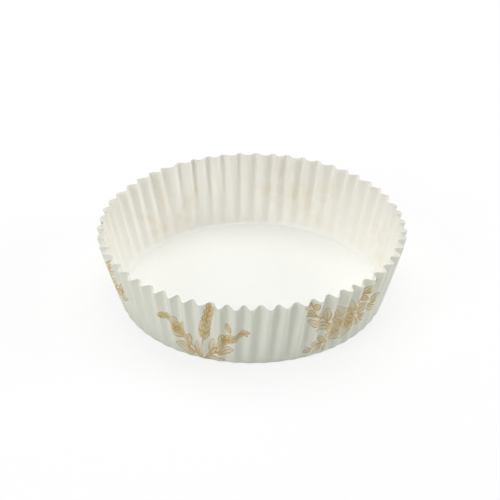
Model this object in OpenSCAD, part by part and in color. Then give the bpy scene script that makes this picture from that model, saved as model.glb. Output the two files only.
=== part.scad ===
// Pleated paper baking case. One round sheet of greaseproof paper is pressed into a flat
// floor and a leaning wall, and the paper that the wall has to spare is taken up by pleats.
// So the pleats start from nothing at the floor and are deepest at the rim, and the inward
// folds, which lean with the wall, end a little higher than the outward ones.
// Millimetres, +Z up, origin at the middle of the floor's underside.

/* [Floor and wall] */
// Diameter of the flat floor that the case stands on
floor_d = 80; // [60:1:110]
// Length of paper from the edge of the flat floor to the rim
wall_len = 25; // [12:0.5:36]
// Lean of the wall outwards from upright, in degrees
wall_lean = 13; // [4:1:28]
// Radius of the rounded corner between the floor and the wall
corner_r = 1.5; // [0.8:0.1:4]

/* [Pleats] */
// Number of pleats round the wall
pleat_count = 56; // [40:1:64]
// Width of the paper that an outward fold curves through, at the rim
outer_fold_w = 1.5; // [0.4:0.1:1.8]
// Width of the paper that an inward fold curves through, at the rim
inner_fold_w = 2.2; // [0.4:0.1:2.4]

/* [Paper] */
// Thickness of the paper
paper_t = 0.1; // [0.06:0.01:0.2]

/* [Hidden] */

floor_r = floor_d / 2;
// The corner turns the paper from level up to the slope of the wall.
corner_turn = 90 - wall_lean;
corner_len = corner_r * corner_turn * PI / 180;

// Rings of points up the case, as lengths of paper from the edge of the floor. On the wall
// they lie closer together low down, where the pleats deepen fastest.
corner_rows = 2;
wall_rows = 5;
row_crowding = 1.5;
rows = [
    for (i = [0 : corner_rows]) corner_len * i / corner_rows,
    for (i = [1 : wall_rows])
        corner_len + (wall_len - corner_len) * pow(i / wall_rows, row_crowding)
];

// The case's mean section: the slope, radius and height of the paper at length s.
function slope(s) = min(s / corner_r * 180 / PI, corner_turn);
function mean_r(s) =
    floor_r + corner_r * sin(slope(s)) + max(s - corner_len, 0) * cos(corner_turn);
function mean_z(s) =
    corner_r * (1 - cos(slope(s))) + max(s - corner_len, 0) * sin(corner_turn);

// Room that one pleat has round the case, and the paper that the flat sheet gives it there.
// The folds run straight up the sheet, so they widen with it.
function pitch(s) = 2 * PI * mean_r(s) / pleat_count;
function paper(s) = 2 * PI * (floor_r + s) / pleat_count;
function widening(s) = paper(s) / paper(wall_len);

// A pleat is two straight flanks between two folds. Each half of a fold leans half as much
// as the flank beside it, so one angle sets how much room the pleat takes:
// folds * cos(lean) + flanks * cos(2 * lean) = pitch, a square equation in cos(lean).
function fold_lean(s) =
    let (
        folds = (outer_fold_w + inner_fold_w) * widening(s),
        flanks = paper(s) - folds,
        root = sqrt(folds * folds + 8 * flanks * (flanks + pitch(s)))
    )
    acos(min((root - folds) / (4 * flanks), 1));

// Points of one pleat as [share of its room, distance out from the mean section]: the start,
// tip and end of its outward fold, then of its inward fold.
function pleat_points(s) =
    let (
        lean = fold_lean(s),
        outer_half = outer_fold_w / 2 * widening(s),
        inner_half = inner_fold_w / 2 * widening(s),
        flank = paper(s) / 2 - outer_half - inner_half,
        tip = ((outer_half + inner_half) * sin(lean) + flank * sin(2 * lean)) / 2,
        outer_run = outer_half * cos(lean) / pitch(s),
        inner_run = inner_half * cos(lean) / pitch(s)
    )
    [
        [-outer_run, tip - outer_half * sin(lean)],
        [0, tip],
        [outer_run, tip - outer_half * sin(lean)],
        [0.5 - inner_run, inner_half * sin(lean) - tip],
        [0.5, -tip],
        [0.5 + inner_run, inner_half * sin(lean) - tip]
    ];

// Middle of the paper along one ring, pleat by pleat.
function ring(s) =
    let (pleat = pleat_points(s))
    [
        for (n = [0 : pleat_count - 1], p = pleat)
            let (
                turn = (n + p[0]) * 360 / pleat_count,
                r = mean_r(s) + p[1] * sin(slope(s)),
                z = mean_z(s) - p[1] * cos(slope(s)) + paper_t / 2
            )
            [r * cos(turn), r * sin(turn), z]
    ];

function unit(v) = v / norm(v);

// One face of the paper: the middle rings moved by an amount along their normals. The
// lowest ring moves straight down or up, so that the floor is flat.
function face_rings(rings, amount) =
    let (
        count = len(rings[0]),
        last = len(rings) - 1
    )
    [
        for (i = [0 : last])
            [
                for (j = [0 : count - 1])
                    let (
                        along = rings[i][(j + 1) % count] - rings[i][(j + count - 1) % count],
                        up = rings[min(i + 1, last)][j] - rings[max(i - 1, 0)][j],
                        normal = i == 0 ? [0, 0, -1] : unit(cross(along, up))
                    )
                    rings[i][j] + amount * normal
            ]
    ];

// The sheet as one closed skin: its outside from the floor to the rim, the cut edge, and
// its inside back down to the floor.
module pleated_liner() {
    middle = [for (s = rows) ring(s)];
    outside = face_rings(middle, paper_t / 2);
    inside = face_rings(middle, -paper_t / 2);
    rings = concat(outside, [for (i = [len(inside) - 1 : -1 : 0]) inside[i]]);
    count = len(middle[0]);
    // The four-sided patches between two rings aren't flat. Both faces of the paper split a
    // patch along the same diagonal, so that the paper keeps its thickness across it, and
    // the two halves of a pleat split theirs as mirror images.
    bands = [
        for (i = [0 : len(rings) - 2], j = [0 : count - 1])
            let (
                a = i * count + j,
                b = i * count + (j + 1) % count,
                point = j % (count / pleat_count),
                from_outer_tip = point >= 1 && point <= 3,
                on_inside = i >= len(outside)
            )
            each from_outer_tip == on_inside
                ? [[a, a + count, b], [b, a + count, b + count]]
                : [[a, a + count, b + count], [a, b + count, b]]
    ];
    underside = [for (j = [0 : count - 1]) j];
    floor_top = [for (j = [1 : count]) len(rings) * count - j];
    color([0.95, 0.95, 0.92])
        polyhedron(
            points = [for (one = rings, p = one) p],
            faces = concat([underside], bands, [floor_top])
        );
}

pleated_liner();
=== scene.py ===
import math
import random

import bpy
from mathutils import Matrix, Vector, noise


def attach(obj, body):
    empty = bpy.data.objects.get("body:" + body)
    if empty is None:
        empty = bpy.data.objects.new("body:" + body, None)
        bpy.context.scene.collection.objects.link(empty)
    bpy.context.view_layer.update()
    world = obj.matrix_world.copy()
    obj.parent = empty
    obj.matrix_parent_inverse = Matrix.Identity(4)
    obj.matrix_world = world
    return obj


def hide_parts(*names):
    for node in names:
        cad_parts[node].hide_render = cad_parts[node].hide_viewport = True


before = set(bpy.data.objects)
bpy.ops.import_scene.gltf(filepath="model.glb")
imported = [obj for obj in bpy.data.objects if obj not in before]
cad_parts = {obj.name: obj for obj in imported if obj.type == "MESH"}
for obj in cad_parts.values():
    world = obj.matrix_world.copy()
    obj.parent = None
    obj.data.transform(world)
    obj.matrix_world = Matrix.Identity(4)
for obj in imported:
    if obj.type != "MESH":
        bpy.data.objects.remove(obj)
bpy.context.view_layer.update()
bpy.ops.object.select_all(action="DESELECT")


# The camera looks down into the case from the photograph's height, a step to the right of
# the fold at the front. The case lies a little to the right of the middle of the picture.
MM = 0.001
CAMERA_TURN = math.radians(1.2)
CAMERA_RISE = math.radians(32)
CAMERA_DISTANCE = 749 * MM
AIM_HEIGHT = 15.2 * MM
AIM_LEFT = 0.57 * MM
LENS_MM = 171.4

sight = Vector((
    math.sin(CAMERA_TURN) * math.cos(CAMERA_RISE),
    -math.cos(CAMERA_TURN) * math.cos(CAMERA_RISE),
    math.sin(CAMERA_RISE),
))
sideways = Vector((math.cos(CAMERA_TURN), math.sin(CAMERA_TURN), 0))
aim = Vector((0, 0, AIM_HEIGHT)) - sideways * AIM_LEFT
bpy.ops.object.camera_add(location=aim + sight * CAMERA_DISTANCE)
camera = bpy.context.object
camera.name = "camera"
camera.rotation_euler = sight.to_track_quat("Z", "Y").to_euler()
camera.data.lens = LENS_MM
camera.data.clip_start = 10 * MM
bpy.context.scene.camera = camera


# The blank is one round sheet of greaseproof paper. It is modelled flat first, as it is
# printed and cut: a small fan at its centre, extruded outwards ring by ring. The rings
# crowd towards the edge of the floor, where the paper bends most.
FLOOR_R = 40 * MM
WALL_LEN = 25 * MM
CORNER_R = 1.5 * MM
WALL_LEAN_DEGREES = 13
WALL_SLOPE = math.radians(90 - WALL_LEAN_DEGREES)
CORNER_LEN = CORNER_R * WALL_SLOPE
BLANK_R = FLOOR_R + WALL_LEN
PLEATS = 56
FOLDS = 2 * PLEATS
FAN_R = 5 * MM
FLOOR_RINGS = [r * MM for r in (12, 20, 27, 32, 35.5, 37.5, 38.6, 39.4)]
CORNER_ROWS = 6
WALL_ROWS = 14
ROW_CROWDING = 1.3

# Where the points of a flank lie on its paper, from the tip of its outward fold to that of
# its inward one. They are closer together where the paper bends.
FLANK_POINTS = (0, 0.05, 0.1, 0.16, 0.24, 0.45, 0.66, 0.75, 0.84, 0.92, 1)
FLANK_STEPS = len(FLANK_POINTS) - 1
RING_POINTS = FLANK_STEPS * FOLDS

rows = [CORNER_LEN * i / CORNER_ROWS for i in range(CORNER_ROWS + 1)]
rows += [
    CORNER_LEN + (WALL_LEN - CORNER_LEN) * (i / WALL_ROWS) ** ROW_CROWDING
    for i in range(1, WALL_ROWS + 1)
]

bpy.ops.mesh.primitive_circle_add(vertices=RING_POINTS, radius=FAN_R, fill_type="TRIFAN")
case = bpy.context.object
case.name = "paper_case"
bpy.ops.object.mode_set(mode="EDIT")
bpy.ops.mesh.select_mode(type="EDGE")
bpy.ops.mesh.select_all(action="DESELECT")
bpy.ops.mesh.select_non_manifold()
ring_r = FAN_R
for next_r in FLOOR_RINGS + [FLOOR_R + row for row in rows]:
    bpy.ops.mesh.extrude_edges_move()
    grow = next_r / ring_r
    bpy.ops.transform.resize(value=(grow, grow, 1), center_override=(0, 0, 0))
    ring_r = next_r

# The printed side lies face down, so that the press turns it outwards.
bpy.ops.mesh.select_all(action="SELECT")
bpy.ops.mesh.normals_make_consistent(inside=False)
bpy.ops.object.mode_set(mode="OBJECT")
if case.data.polygons[0].normal.z > 0:
    case.data.flip_normals()

# Each ring's points are gathered towards the folds, and the sheet as it lies flat is kept
# as the UV map that the print is laid out on.
FLAT_SHEET = "flat_sheet"
outward_to_inward = [share / 2 for share in FLANK_POINTS[:-1]]
inward_to_outward = [1 - share / 2 for share in reversed(FLANK_POINTS[1:])]
pleat_points = outward_to_inward + inward_to_outward
ring_places = []
for vertex in case.data.vertices:
    share_round = math.atan2(vertex.co.y, vertex.co.x) / math.tau
    index = round(share_round * RING_POINTS) % RING_POINTS
    pleat, point = divmod(index, len(pleat_points))
    turn = (pleat + pleat_points[point]) * math.tau / PLEATS
    distance = vertex.co.length
    ring_places.append((distance, index))
    vertex.co = Vector((math.cos(turn), math.sin(turn), 0)) * distance
sheet_map = case.data.uv_layers.new(name=FLAT_SHEET)
for loop in case.data.loops:
    flat = case.data.vertices[loop.vertex_index].co.xy / BLANK_R
    sheet_map.data[loop.index].uv = flat / 2 + Vector((0.5, 0.5))

# The press folds the wall. Paper doesn't stretch, so at each height the flanks lean until
# a pleat's paper fits the room that it has round the case.
OUTER_BEND = 0.22
INNER_BEND = 0.32
FOLD_HALVINGS = 30


def flank_section(angle):
    """A flank's points as (run, rise) from its outward tip, for one unit of paper."""
    section = [(0, 0)]
    for start, end in zip(FLANK_POINTS, FLANK_POINTS[1:]):
        middle = (start + end) / 2
        slope = angle * min(1, middle / OUTER_BEND, (1 - middle) / INNER_BEND)
        run, rise = section[-1]
        length = end - start
        section.append((run + length * math.cos(slope), rise + length * math.sin(slope)))
    return section


def fitted_section(room):
    """The section of a flank that takes up a given room for one unit of paper."""
    low, high = 0, math.pi / 2
    for _ in range(FOLD_HALVINGS):
        angle = (low + high) / 2
        if flank_section(angle)[-1][0] > room:
            low = angle
        else:
            high = angle
    return flank_section(low)


# No two pleats leave the press alike: each fold springs back by its own amount and leans a
# little, and the rim is a little out of round and uneven in height. At the foot of the wall
# each inward fold runs out over the floor as a small crease.
PRESS_SEED = 56
SPRING_BACK = 0.16
RIM_LEAN = math.radians(0.7)
RIM_OVAL = 0.7 * MM
RIM_SWAY = 0.3 * MM
SWAYS_TO_A_RADIAN = 1.5
CREASE_RISE = 0.12 * MM
FAINTEST_CREASE = 0.4
CREASE_START = FLOOR_R - 4 * MM
random.seed(PRESS_SEED)
fold_depths = [1 + SPRING_BACK * random.uniform(-1, 1) for _ in range(FOLDS)]
fold_leans = [RIM_LEAN * random.uniform(-1, 1) for _ in range(FOLDS)]
crease_rises = [CREASE_RISE * random.uniform(FAINTEST_CREASE, 1) for _ in range(PLEATS)]


def crease(sheet_r, turn):
    """How high the creases lift the paper at a radius of the flat sheet and an angle."""
    if sheet_r < FLOOR_R:
        share = max(sheet_r - CREASE_START, 0) / (FLOOR_R - CREASE_START)
    else:
        share = max(1 - (sheet_r - FLOOR_R) / CORNER_LEN, 0)
    pleat, place = divmod(turn % math.tau * PLEATS / math.tau, 1)
    return crease_rises[int(pleat) % PLEATS] * share ** 2 * math.sin(place * math.pi) ** 2


def pressed_ring(row):
    """The places of a ring's points in the pressed case, for a ring at a length of wall."""
    slope = min(row / CORNER_R, WALL_SLOPE)
    straight = max(row - CORNER_LEN, 0)
    mean_r = FLOOR_R + CORNER_R * math.sin(slope) + straight * math.cos(WALL_SLOPE)
    mean_z = CORNER_R * (1 - math.cos(slope)) + straight * math.sin(WALL_SLOPE)
    flank = math.pi * (FLOOR_R + row) / PLEATS
    section = fitted_section(mean_r / (FLOOR_R + row))
    full_run, full_rise = section[-1]
    chord = flank * math.hypot(full_run, full_rise)
    half_depth = flank * full_rise / 2
    # The flanks are still flat at the foot of the wall, with no rise to share out.
    rise_to_share = full_rise or 1
    up = row / WALL_LEN

    next_fold = [(i + 1) % FOLDS for i in range(FOLDS)]
    rises = [half_depth * (fold_depths[i] + fold_depths[next_fold[i]]) for i in range(FOLDS)]
    runs = [math.sqrt(chord ** 2 - rise ** 2) for rise in rises]
    turn_per_run = math.tau / sum(runs)

    places = []
    fold_turn = 0
    for i, (run, rise) in enumerate(zip(runs, rises)):
        starts_outward = i % 2 == 0
        steps = section[:-1] if starts_outward else section[:0:-1]
        tip = half_depth * fold_depths[i if starts_outward else next_fold[i]]
        for part_run, part_rise in steps:
            share = part_run / full_run
            share = share if starts_outward else 1 - share
            lean = fold_leans[i] * (1 - share) + fold_leans[next_fold[i]] * share
            turn = fold_turn + run * turn_per_run * share + lean * up
            out = tip - rise * part_rise / rise_to_share
            ahead = Vector((math.cos(turn), math.sin(turn), 0))
            sway = noise.noise(ahead * SWAYS_TO_A_RADIAN) * RIM_SWAY
            radius = mean_r + out * math.sin(slope) + RIM_OVAL * up * math.cos(2 * turn)
            height = mean_z - out * math.cos(slope) + sway * up + crease(FLOOR_R + row, turn)
            places.append(ahead * radius + Vector((0, 0, height)))
        fold_turn += run * turn_per_run
    return places


# The wall's rings take their pressed places, and the floor takes only the creases' rise.
RING_MARGIN = 0.1 * MM
pressed_rings = [pressed_ring(row) for row in rows]
for vertex, (distance, index) in zip(case.data.vertices, ring_places):
    if distance > FLOOR_R - RING_MARGIN:
        row = min(range(len(rows)), key=lambda i: abs(FLOOR_R + rows[i] - distance))
        vertex.co = pressed_rings[row][index]
    else:
        vertex.co.z = crease(distance, math.atan2(vertex.co.y, vertex.co.x))

# The sheet that was folded lies in the middle of the paper's thickness. The printed side
# takes the first material, the plain side the second and the cut edge the third.
PAPER_T = 0.1 * MM
case.data.transform(Matrix.Translation((0, 0, PAPER_T / 2)))
thickness = case.modifiers.new("paper_thickness", "SOLIDIFY")
thickness.thickness = PAPER_T
thickness.offset = 0
thickness.material_offset = 1
thickness.material_offset_rim = 2


# The paper is calendered dense, coated until it is faintly shiny, and lets a little light
# through. Close up it shows clouds and fibres, the fine upright wrinkles that the press
# leaves on the wall, and a shinier line where the press rubs the corner round the floor.
LIGHT_THROUGH = 0.2
SCATTER = 0.4 * MM
SCATTER_OF_COLOURS = (1, 1, 0.9)
SHINE = 0.25
SMOOTHEST = 0.34
ROUGHER_BY_CLOUDS = 0.2
COATED = 0.25
COAT_ROUGHNESS = 0.1
RUBBED_COAT = 1.0
RUBBED_R = FLOOR_R + 0.4 * MM
RUBBED_WIDTH = 0.9 * MM
CLOUDING = 0.03
CLOUDS_TO_A_METRE = 260.0
FIBRES_TO_A_METRE = 2600.0
FIBRE_SHARE = 0.3

# For the wrinkles a metre of height counts as only a few radians round the wall, so they
# are long and upright.
WRINKLES_TO_A_RADIAN = 32.0
RADIANS_TO_A_METRE = 4.0
WRINKLES_FROM = 1 * MM
WRINKLES_FULL = 8 * MM

NUMBER = "NodeSocketFloat"
VECTOR = "NodeSocketVector"
COLOUR = "NodeSocketColor"


def as_linear(*srgb):
    """A colour for a shader from red, green and blue of 0 to 255 as a screen shows them."""
    return (*(((c / 255 + 0.055) / 1.055) ** 2.4 for c in srgb), 1)


def new_group(name, inputs, outputs):
    """A shader node group with its named sockets, and its input and output nodes."""
    group = bpy.data.node_groups.new(name, "ShaderNodeTree")
    for in_out, sockets in (("INPUT", inputs), ("OUTPUT", outputs)):
        for socket_name, kind in sockets.items():
            group.interface.new_socket(socket_name, in_out=in_out, socket_type=kind)
    return group, group.nodes.new("NodeGroupInput"), group.nodes.new("NodeGroupOutput")


def feed(socket, value):
    """Links a node's socket to another one's output, or sets it to a plain value."""
    if isinstance(value, bpy.types.NodeSocket):
        socket.id_data.links.new(value, socket)
    else:
        socket.default_value = value


def put(tree, kind, settings=None, **inputs):
    """Adds a node with its settings, and feeds its inputs by name."""
    node = tree.nodes.new(kind)
    for key, value in (settings or {}).items():
        setattr(node, key, value)
    for key, value in inputs.items():
        feed(node.inputs[key.replace("_", " ")], value)
    return node


def tree_of(*values):
    """The node tree of the sockets among some values."""
    return next(value.id_data for value in values if isinstance(value, bpy.types.NodeSocket))


def calc(operation, *values, clamp=False):
    """Adds a Math node with sockets or numbers for its inputs, and returns its output."""
    settings = {"operation": operation, "use_clamp": clamp}
    node = put(tree_of(*values), "ShaderNodeMath", settings)
    for socket, value in zip(node.inputs, values):
        feed(socket, value)
    return node.outputs[0]


def blend(factor, first, second, blend_type="MIX"):
    """Adds a Mix node for two colours, and returns its colour."""
    settings = {"data_type": "RGBA", "blend_type": blend_type}
    node = put(tree_of(factor, first, second), "ShaderNodeMix", settings, Factor=factor)
    feed(node.inputs[6], first)
    feed(node.inputs[7], second)
    return node.outputs[2]


greaseproof, given, out = new_group(
    "greaseproof_paper",
    {"Place": VECTOR, "Colour": COLOUR, "Clouding": NUMBER},
    {"Colour": COLOUR, "Roughness": NUMBER, "Height": NUMBER, "Wrinkles": NUMBER, "Coat": NUMBER},
)
place, colour, clouding = given.outputs[:3]
clouds = put(greaseproof, "ShaderNodeTexNoise", Vector=place, Scale=CLOUDS_TO_A_METRE,
             Detail=4.0, Roughness=0.6).outputs["Fac"]
fibres = put(greaseproof, "ShaderNodeTexNoise", Vector=place, Scale=FIBRES_TO_A_METRE,
             Detail=3.0, Roughness=0.7).outputs["Fac"]
shade = calc("SUBTRACT", calc("MULTIPLY_ADD", clouds, clouding, 1.0),
             calc("MULTIPLY", clouding, 0.5))
grey = put(greaseproof, "ShaderNodeCombineColor", Red=shade, Green=shade, Blue=shade).outputs[0]
feed(out.inputs["Colour"], blend(1.0, colour, grey, "MULTIPLY"))
feed(out.inputs["Roughness"], calc("MULTIPLY_ADD", clouds, ROUGHER_BY_CLOUDS, SMOOTHEST))
feed(out.inputs["Height"], calc("ADD", clouds, calc("MULTIPLY", fibres, FIBRE_SHARE)))

# The rubbed line is a narrow band of radii round the case's axis.
x, y, z = put(greaseproof, "ShaderNodeSeparateXYZ", Vector=place).outputs
level = put(greaseproof, "ShaderNodeCombineXYZ", X=x, Y=y).outputs[0]
from_axis = put(greaseproof, "ShaderNodeVectorMath", {"operation": "LENGTH"}, Vector=level)
off_corner = calc("ABSOLUTE", calc("SUBTRACT", from_axis.outputs["Value"], RUBBED_R))
rubbed = calc("SUBTRACT", 1.0, calc("DIVIDE", off_corner, RUBBED_WIDTH), clamp=True)
feed(out.inputs["Coat"], calc("MULTIPLY_ADD", rubbed, RUBBED_COAT - COATED, COATED))

# The wrinkles follow the bearing from the axis, and come in above the corner of the floor.
outward = put(greaseproof, "ShaderNodeVectorMath", {"operation": "NORMALIZE"}, Vector=level)
bearing = put(greaseproof, "ShaderNodeSeparateXYZ", Vector=outward.outputs[0])
round_and_up = put(greaseproof, "ShaderNodeCombineXYZ", X=bearing.outputs["X"],
                   Y=bearing.outputs["Y"], Z=calc("MULTIPLY", z, RADIANS_TO_A_METRE))
wrinkles = put(greaseproof, "ShaderNodeTexNoise", Vector=round_and_up.outputs[0],
               Scale=WRINKLES_TO_A_RADIAN, Detail=3.0, Roughness=0.6)
on_wall = calc("DIVIDE", calc("SUBTRACT", z, WRINKLES_FROM), WRINKLES_FULL - WRINKLES_FROM,
               clamp=True)
feed(out.inputs["Wrinkles"], calc("MULTIPLY", wrinkles.outputs["Fac"], on_wall))


# The sheet is printed before it is pressed, in tan line work over a paler wash of the same
# ink: leaves on curved stems, which make up wheat ears, leafy branches and flowers. All are
# laid out in millimetres on the flat sheet.
LINE_MM = 0.42
BLUR_MM = 0.16


def soft_edge(inside):
    """The mask of a printed shape, from how far inside it a place is."""
    return calc("DIVIDE", inside, BLUR_MM, clamp=True)


def stroke(off_line, width):
    """The mask of a printed line, from how far off it a place is."""
    return soft_edge(calc("SUBTRACT", (width + BLUR_MM) / 2, calc("ABSOLUTE", off_line)))


def together(masks):
    """One mask of everything that any of several masks covers."""
    mask = masks[0]
    for other in masks[1:]:
        mask = calc("MAXIMUM", mask, other)
    return mask


def reach_of(x, y):
    """How far a place is from the point where x and y are 0."""
    return calc("SQRT", calc("ADD", calc("MULTIPLY", x, x), calc("MULTIPLY", y, y)))


def turned(x, y, angle):
    """How far a place lies along and across a line that leans by an angle from Y towards X."""
    sine = calc("SINE", angle)
    cosine = calc("COSINE", angle)
    along = calc("ADD", calc("MULTIPLY", x, sine), calc("MULTIPLY", y, cosine))
    across = calc("SUBTRACT", calc("MULTIPLY", x, cosine), calc("MULTIPLY", y, sine))
    return along, across


# One leaf, drawn from its foot: a pointed outline, its midrib and the finer veins that run
# forward from it. The wash is thickest at the foot.
MIDRIB_LINE = 0.7 * LINE_MM
MIDRIB_END = 0.85
VEIN_LINE = 0.5 * LINE_MM
VEIN_INK = 0.6
VEIN_SPACING_MM = 0.9
VEIN_SLANT = 1.3
WASH_AT_FOOT = 1.2
LEAF_INPUTS = ("Along", "Across", "Length", "Width")
leaf, given, out = new_group("printed_leaf", dict.fromkeys(LEAF_INPUTS, NUMBER),
                             {"Ink": NUMBER, "Wash": NUMBER})
along, across, length, width = given.outputs[:4]
side = calc("ABSOLUTE", across)
share = calc("DIVIDE", along, length, clamp=True)
taper = calc("MULTIPLY", share, calc("SUBTRACT", 1.0, share))
half_width = calc("MULTIPLY", taper, calc("MULTIPLY", width, 2.0))
inside = calc("SUBTRACT", half_width, side)
is_leaf = calc("GREATER_THAN", taper, 0.0)
within = calc("MULTIPLY", soft_edge(inside), is_leaf)
midrib = calc("MULTIPLY", stroke(across, MIDRIB_LINE), calc("LESS_THAN", share, MIDRIB_END))
forward = calc("SUBTRACT", along, calc("MULTIPLY", side, VEIN_SLANT))
to_vein = calc("PINGPONG", forward, VEIN_SPACING_MM / 2)
veins = calc("MULTIPLY", calc("MULTIPLY", stroke(to_vein, VEIN_LINE), within), VEIN_INK)
lines = together([stroke(inside, LINE_MM), midrib, veins])
thinning = calc("SUBTRACT", WASH_AT_FOOT, share, clamp=True)
feed(out.inputs["Ink"], calc("MULTIPLY", lines, is_leaf))
feed(out.inputs["Wash"], calc("MULTIPLY", within, thinning))

# A stem of one curve with leaves on both sides by turns, smaller towards its tip. Heading
# and Lean are in degrees, and Bend is the degrees that the stem turns in each millimetre.
# Each place on the sheet can lie on the leaf of its own stretch of stem or on that of the
# stretch before. Stain is the sprig as it shows through the paper, too soft for an outline.
TIP_LEAF = 0.55
LEAF_GROWTH = 0.6
ROUNDING_MM = 0.01
SPRIG_INPUTS = ("Root X", "Root Y", "Heading", "Bend", "Stem", "Bare", "Spacing", "Leaf",
                "Width", "Lean")
PRINT_MASKS = ("Ink", "Wash", "Stain")
sprig, given, out = new_group("printed_sprig", dict.fromkeys(("X", "Y") + SPRIG_INPUTS, NUMBER),
                              dict.fromkeys(PRINT_MASKS, NUMBER))
(x, y, root_x, root_y, heading, bend, stem, bare, spacing, leaf_length, leaf_width,
 lean) = given.outputs[:12]
ahead, right = turned(calc("SUBTRACT", x, root_x), calc("SUBTRACT", y, root_y),
                      calc("RADIANS", heading))

# The stem is an arc round a centre on its right, or on its left where the radius is negative.
radius = calc("DIVIDE", 1.0, calc("RADIANS", bend))
hand = calc("SIGN", radius)
inward = calc("SUBTRACT", radius, right)
across = calc("SUBTRACT", radius, calc("MULTIPLY", hand, reach_of(inward, ahead)))
along = calc("MULTIPLY", calc("ABSOLUTE", radius),
             calc("ARCTAN2", ahead, calc("MULTIPLY", inward, hand)))
on_stem = calc("MULTIPLY", calc("GREATER_THAN", along, 0.0), calc("LESS_THAN", along, stem))
inks = [calc("MULTIPLY", stroke(across, LINE_MM), on_stem)]
washes = []

# On its right the leaves stand half a spacing nearer the root than on its left.
side = calc("ABSOLUTE", across)
lean = calc("RADIANS", lean)
stagger = calc("MULTIPLY", calc("GREATER_THAN", across, 0.0), calc("MULTIPLY", spacing, 0.5))
leafy = calc("SUBTRACT", calc("ADD", along, stagger), bare)
stretch = calc("FRACT", calc("DIVIDE", leafy, spacing))
for stretches_back in (0.0, 1.0):
    past = calc("MULTIPLY", calc("ADD", stretch, stretches_back), spacing)
    foot = calc("SUBTRACT", leafy, past)
    left_over = calc("SUBTRACT", calc("SUBTRACT", stem, bare), foot)
    grows = calc("MULTIPLY", calc("GREATER_THAN", foot, -ROUNDING_MM),
                 calc("GREATER_THAN", left_over, 0.0))
    size = calc("MULTIPLY_ADD", calc("DIVIDE", left_over, stem), LEAF_GROWTH, TIP_LEAF,
                clamp=True)
    leaf_along, leaf_across = turned(side, past, lean)
    this_leaf = put(
        sprig, "ShaderNodeGroup", {"node_tree": leaf}, Along=leaf_along, Across=leaf_across,
        Length=calc("MULTIPLY", leaf_length, size), Width=calc("MULTIPLY", leaf_width, size))
    inks.append(calc("MULTIPLY", this_leaf.outputs["Ink"], grows))
    washes.append(calc("MULTIPLY", this_leaf.outputs["Wash"], grows))
beside = calc("SUBTRACT", 1.0, calc("DIVIDE", side, leaf_length), clamp=True)
to_end = calc("MINIMUM", along, calc("SUBTRACT", stem, along))
fade = calc("DIVIDE", to_end, leaf_length, clamp=True)
feed(out.inputs["Ink"], together(inks))
feed(out.inputs["Wash"], together(washes))
feed(out.inputs["Stain"], calc("MULTIPLY", beside, fade))

# A flower: petals of the leaf's shape turned round an eye. Turn is a share of one petal.
PETAL_FOOT = 0.6
EYE_DOT = 0.45
STAIN_REACH = 1.2
FLOWER_INPUTS = ("Centre X", "Centre Y", "Radius", "Eye", "Petals", "Width", "Turn")
flower, given, out = new_group(
    "printed_flower", dict.fromkeys(("X", "Y") + FLOWER_INPUTS, NUMBER),
    dict.fromkeys(PRINT_MASKS, NUMBER))
x, y, centre_x, centre_y, radius, eye, petals, width, turn = given.outputs[:9]
x = calc("SUBTRACT", x, centre_x)
y = calc("SUBTRACT", y, centre_y)
reach = reach_of(x, y)
petal_turn = calc("DIVIDE", math.tau, petals)
petals_round = calc("ADD", turn, calc("DIVIDE", calc("ARCTAN2", y, x), petal_turn))
off_petal = calc("MULTIPLY", petal_turn, calc("SUBTRACT", calc("FRACT", petals_round), 0.5))
foot = calc("MULTIPLY", eye, PETAL_FOOT)
petal = put(
    flower, "ShaderNodeGroup", {"node_tree": leaf},
    Along=calc("SUBTRACT", calc("MULTIPLY", reach, calc("COSINE", off_petal)), foot),
    Across=calc("MULTIPLY", reach, calc("SINE", off_petal)),
    Length=calc("SUBTRACT", radius, foot), Width=width)
petal_ink = calc("MULTIPLY", petal.outputs["Ink"], calc("GREATER_THAN", reach, eye))
eye_ring = stroke(calc("SUBTRACT", reach, eye), LINE_MM)
eye_dot = calc("LESS_THAN", reach, calc("MULTIPLY", eye, EYE_DOT))
around = calc("SUBTRACT", STAIN_REACH, calc("DIVIDE", reach, radius), clamp=True)
feed(out.inputs["Ink"], together([petal_ink, eye_ring, eye_dot]))
feed(out.inputs["Wash"], petal.outputs["Wash"])
feed(out.inputs["Stain"], around)

# The layout: six motifs round the wall, wheat and flowers by turns, the first turned back
# by a sixth of the room that a motif has. They have their true width at MOTIF_MID, 12 mm up
# the wall. Each stem and flower is written as the row of its group's values, in millimetres
# from the middle of the motif and the edge of the floor.
MOTIFS = 6
FIRST_MOTIF = -1 / 6
MOTIF_MID = FLOOR_R / MM + 12
WHEAT_STEMS = (
    (0, 1, 3, 0.5, 23, 10, 2.3, 4.4, 2, 22),
    (-0.6, 1, -24, -2.1, 23, 10, 2.3, 4.2, 1.9, 22),
    (0.6, 1, 30, 2.0, 22, 9, 2.3, 4.2, 1.9, 22),
    (-1, 2, -58, 3.2, 15, 2, 6.4, 8, 3.2, 34),
    (1, 2, 64, -3.0, 16, 2.4, 6.4, 8, 3.2, 34),
)
FLOWER_STEMS = (
    (-5, 13, -70, 3.0, 16, 1.4, 4.4, 6.2, 2.8, 44),
    (5, 11.5, 100, -3.4, 16, 1.4, 4.4, 6.2, 2.8, 44),
    (-4, 8, -128, 4.4, 12, 1.2, 4, 5, 2.4, 42),
    (4, 16.5, 50, 3.4, 11, 1.2, 4, 4.8, 2.3, 42),
)
FLOWERS = ((0, 12, 8.2, 1.7, 7, 6, 0), (0, 12, 4.9, 1.7, 7, 3.2, 0.5))
bakery_print, given, out = new_group("bakery_print", {"Sheet": VECTOR},
                                     dict.fromkeys(PRINT_MASKS, NUMBER))
centred = put(bakery_print, "ShaderNodeVectorMath", {"operation": "SUBTRACT"},
              Vector=given.outputs["Sheet"])
feed(centred.inputs[1], (0.5, 0.5, 0))
flat = put(bakery_print, "ShaderNodeSeparateXYZ", Vector=centred.outputs[0])
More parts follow.
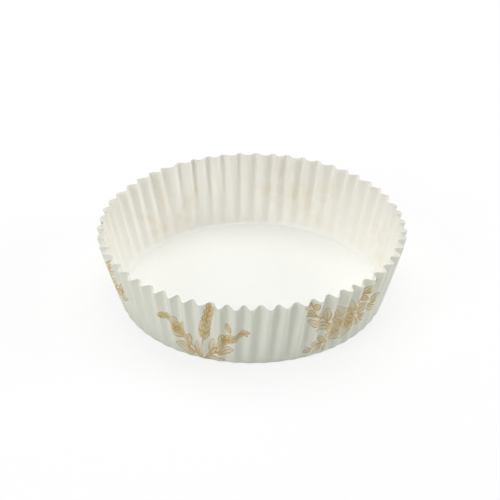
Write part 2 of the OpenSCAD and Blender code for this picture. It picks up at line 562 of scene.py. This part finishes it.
flat_x, flat_y = (calc("MULTIPLY", flat.outputs[i], 2 * BLANK_R / MM) for i in range(2))
motif_turn = math.tau / MOTIFS
motifs_round = calc("ADD", 0.5 + FIRST_MOTIF,
                    calc("DIVIDE", calc("ARCTAN2", flat_y, flat_x), motif_turn))
x = calc("MULTIPLY", motif_turn * MOTIF_MID, calc("SUBTRACT", calc("FRACT", motifs_round), 0.5))
y = calc("SUBTRACT", reach_of(flat_x, flat_y), FLOOR_R / MM)
is_flower = calc("FLOORED_MODULO", calc("FLOOR", motifs_round), 2.0)
is_wheat = calc("SUBTRACT", 1.0, is_flower)


def drawn(group, names, rows_of_values):
    """The nodes of several sprigs or flowers, each with its row of values."""
    nodes = []
    for values in rows_of_values:
        node = put(bakery_print, "ShaderNodeGroup", {"node_tree": group}, X=x, Y=y)
        for name, value in zip(names, values):
            feed(node.inputs[name], value)
        nodes.append(node)
    return nodes


wheat = drawn(sprig, SPRIG_INPUTS, WHEAT_STEMS)
flowers = drawn(sprig, SPRIG_INPUTS, FLOWER_STEMS) + drawn(flower, FLOWER_INPUTS, FLOWERS)

# The ink takes unevenly, in patches. The whole inside of the wall is also tinted a pale
# warm cream, at full strength from 3 mm up the wall from the edge of the floor.
PATCHES_ACROSS = 40.0
PATCH_CONTRAST = 1.6
PATCH_LOSS = -0.1
TINT = 0.35
TINT_FULL_MM = 3.0
patches = put(bakery_print, "ShaderNodeTexNoise", Vector=given.outputs["Sheet"],
              Scale=PATCHES_ACROSS, Detail=3.0)
density = calc("MULTIPLY_ADD", patches.outputs["Fac"], PATCH_CONTRAST, PATCH_LOSS, clamp=True)
wall_tint = calc("MULTIPLY", calc("DIVIDE", y, TINT_FULL_MM, clamp=True), TINT)
for name in PRINT_MASKS:
    wheat_mask = together([node.outputs[name] for node in wheat])
    flower_mask = together([node.outputs[name] for node in flowers])
    mask = calc("ADD", calc("MULTIPLY", wheat_mask, is_wheat),
                calc("MULTIPLY", flower_mask, is_flower))
    mask = calc("MULTIPLY", mask, density)
    if name == "Stain":
        mask = calc("MAXIMUM", mask, wall_tint)
    feed(out.inputs[name], mask)


# The outside carries the print. On the inside it shows through the paper, as a faint warm
# stain with hardly any drawing in it. Each print is a mask, its colour and its strength.
# The outside's white is darker and greener than the inside's. This is painted shade: the greenish
# tint the outer wall takes in shade.
SHADED_OUTSIDE_WHITE = as_linear(243, 245, 233)
INSIDE_WHITE = as_linear(250, 251, 246)
EDGE_WHITE = as_linear(248, 248, 242)
INK = as_linear(203, 166, 92)
WASH = as_linear(228, 208, 157)
STAIN = as_linear(240, 216, 180)
ON_PRINTED_SIDE = (("Wash", WASH, 0.9), ("Ink", INK, 1))
ON_PLAIN_SIDE = (("Stain", STAIN, 0.4), ("Wash", WASH, 0.12))
WRINKLE_DEPTH = 0.1 * MM
WRINKLE_BUMP = 0.6
FIBRE_DEPTH = 0.05 * MM
FIBRE_BUMP = 0.15


def paper_material(name, colour, prints):
    """A material of greaseproof paper with what is printed on it or shows through it."""
    material = bpy.data.materials.new(name)
    material.use_nodes = True
    tree = material.node_tree
    shader = tree.nodes["Principled BSDF"]
    if prints:
        sheet = put(tree, "ShaderNodeUVMap", {"uv_map": FLAT_SHEET}).outputs[0]
        motifs = put(tree, "ShaderNodeGroup", {"node_tree": bakery_print}, Sheet=sheet)
        for mask, printed, strength in prints:
            colour = blend(calc("MULTIPLY", motifs.outputs[mask], strength), colour, printed)
    shader.inputs["Specular IOR Level"].default_value = SHINE
    shader.inputs["Coat Roughness"].default_value = COAT_ROUGHNESS
    shader.inputs["Subsurface Weight"].default_value = LIGHT_THROUGH
    shader.inputs["Subsurface Radius"].default_value = SCATTER_OF_COLOURS
    shader.inputs["Subsurface Scale"].default_value = SCATTER
    place = put(tree, "ShaderNodeTexCoord").outputs["Object"]
    paper = put(tree, "ShaderNodeGroup", {"node_tree": greaseproof}, Place=place,
                Colour=colour, Clouding=CLOUDING)
    wrinkled = put(tree, "ShaderNodeBump", Height=paper.outputs["Wrinkles"],
                   Strength=WRINKLE_BUMP, Distance=WRINKLE_DEPTH)
    surface = put(tree, "ShaderNodeBump", Height=paper.outputs["Height"], Strength=FIBRE_BUMP,
                  Distance=FIBRE_DEPTH, Normal=wrinkled.outputs[0])
    feed(shader.inputs["Base Color"], paper.outputs["Colour"])
    feed(shader.inputs["Roughness"], paper.outputs["Roughness"])
    feed(shader.inputs["Coat Weight"], paper.outputs["Coat"])
    feed(shader.inputs["Normal"], surface.outputs[0])
    return material


case.data.materials.append(paper_material("printed_side", SHADED_OUTSIDE_WHITE, ON_PRINTED_SIDE))
case.data.materials.append(paper_material("plain_side", INSIDE_WHITE, ON_PLAIN_SIDE))
case.data.materials.append(paper_material("cut_edge", EDGE_WHITE, ()))
bpy.context.view_layer.objects.active = case
bpy.ops.object.modifier_apply(modifier=thickness.name)

# The faces are smooth, and the cut edge round the rim stays sharp.
EDGE_ANGLE = math.radians(50)
bpy.ops.object.select_all(action="DESELECT")
case.select_set(True)
bpy.ops.object.shade_smooth_by_angle(angle=EDGE_ANGLE)
case.select_set(False)
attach(case, "root")
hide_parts("pleated_liner")


# The case stands on a plain white table, with a hair's breadth between them. Away from the
# case the table fades into the white background, and near it keeps its shadow.
TABLE_WIDTH = 3.0
TABLE_TOP = -0.05 * MM
TABLE_ROUGHNESS = 0.8
TABLE_SEEN = as_linear(250, 250, 250)
TABLE_LIT = as_linear(222, 222, 220)
WHITE = (1, 1, 1, 1)
WHITENED = 0.8
FADE_FROM = 80 * MM
FADE_TO = 400 * MM


def mix_shaders(factor, first, second, output):
    """Puts a mix of two shaders in front of an output node."""
    tree = tree_of(factor)
    mix = put(tree, "ShaderNodeMixShader")
    for socket, value in zip(mix.inputs, (factor, first, second)):
        feed(socket, value)
    feed(tree.nodes[output].inputs["Surface"], mix.outputs[0])


bpy.ops.mesh.primitive_plane_add(size=TABLE_WIDTH, location=(0, 0, TABLE_TOP))
table = bpy.context.object
table.name = "table"
table_white = bpy.data.materials.new("table_white")
table_white.use_nodes = True
tree = table_white.node_tree
shader = tree.nodes["Principled BSDF"]
shader.inputs["Roughness"].default_value = TABLE_ROUGHNESS
by_camera = put(tree, "ShaderNodeLightPath").outputs["Is Camera Ray"]
feed(shader.inputs["Base Color"], blend(by_camera, TABLE_LIT, TABLE_SEEN))
plain_white = put(tree, "ShaderNodeEmission", Color=WHITE, Strength=1.0)
place = put(tree, "ShaderNodeTexCoord").outputs["Object"]
away = put(tree, "ShaderNodeVectorMath", {"operation": "LENGTH"}, Vector=place)
fade = put(tree, "ShaderNodeMapRange", {"interpolation_type": "SMOOTHSTEP"},
           Value=away.outputs["Value"], From_Min=FADE_FROM, From_Max=FADE_TO, To_Min=WHITENED)
faded = calc("MULTIPLY", by_camera, fade.outputs["Result"])
mix_shaders(faded, shader.outputs[0], plain_white.outputs[0], "Material Output")
table.data.materials.append(table_white)


# Light falls from a broad lamp above and behind, with softer ones on both sides and a small
# one in front that picks out the shine. A little comes from all round.
SKY_STRENGTH = 0.17
world = bpy.data.worlds.new("white_sky")
bpy.context.scene.world = world
world.use_nodes = True
tree = world.node_tree
sky = tree.nodes["Background"]
sky.inputs["Color"].default_value = WHITE
sky.inputs["Strength"].default_value = SKY_STRENGTH
seen_sky = put(tree, "ShaderNodeBackground", Color=WHITE, Strength=1.0)
light_path = put(tree, "ShaderNodeLightPath")
is_seen = calc("MAXIMUM", light_path.outputs["Is Camera Ray"],
               light_path.outputs["Is Glossy Ray"])
mix_shaders(is_seen, sky.outputs[0], seen_sky.outputs[0], "World Output")

# Each lamp has a name, a place in metres, a width and its watts, and faces the case.
LAMPS = (
    ("overhead_softbox", (0.0, 0.28, 0.84), 0.9, 5.0),
    ("small_front_lamp", (0.0, -0.25, 0.9), 0.16, 0.45),
    ("front_left_softbox", (-0.6, -0.55, 0.45), 0.5, 2.5),
    ("back_left_softbox", (-0.55, 0.55, 0.45), 0.5, 0.9),
    ("right_softbox", (0.85, 0.0, 0.35), 0.5, 2.9),
)
for name, place, width, watts in LAMPS:
    bpy.ops.object.light_add(type="AREA", location=place)
    lamp = bpy.context.object
    lamp.name = name
    lamp.data.shape = "DISK"
    lamp.data.size = width
    lamp.data.energy = watts
    lamp.rotation_euler = Vector(place).to_track_quat("Z", "Y").to_euler()

bpy.context.scene.view_settings.view_transform = "Standard"
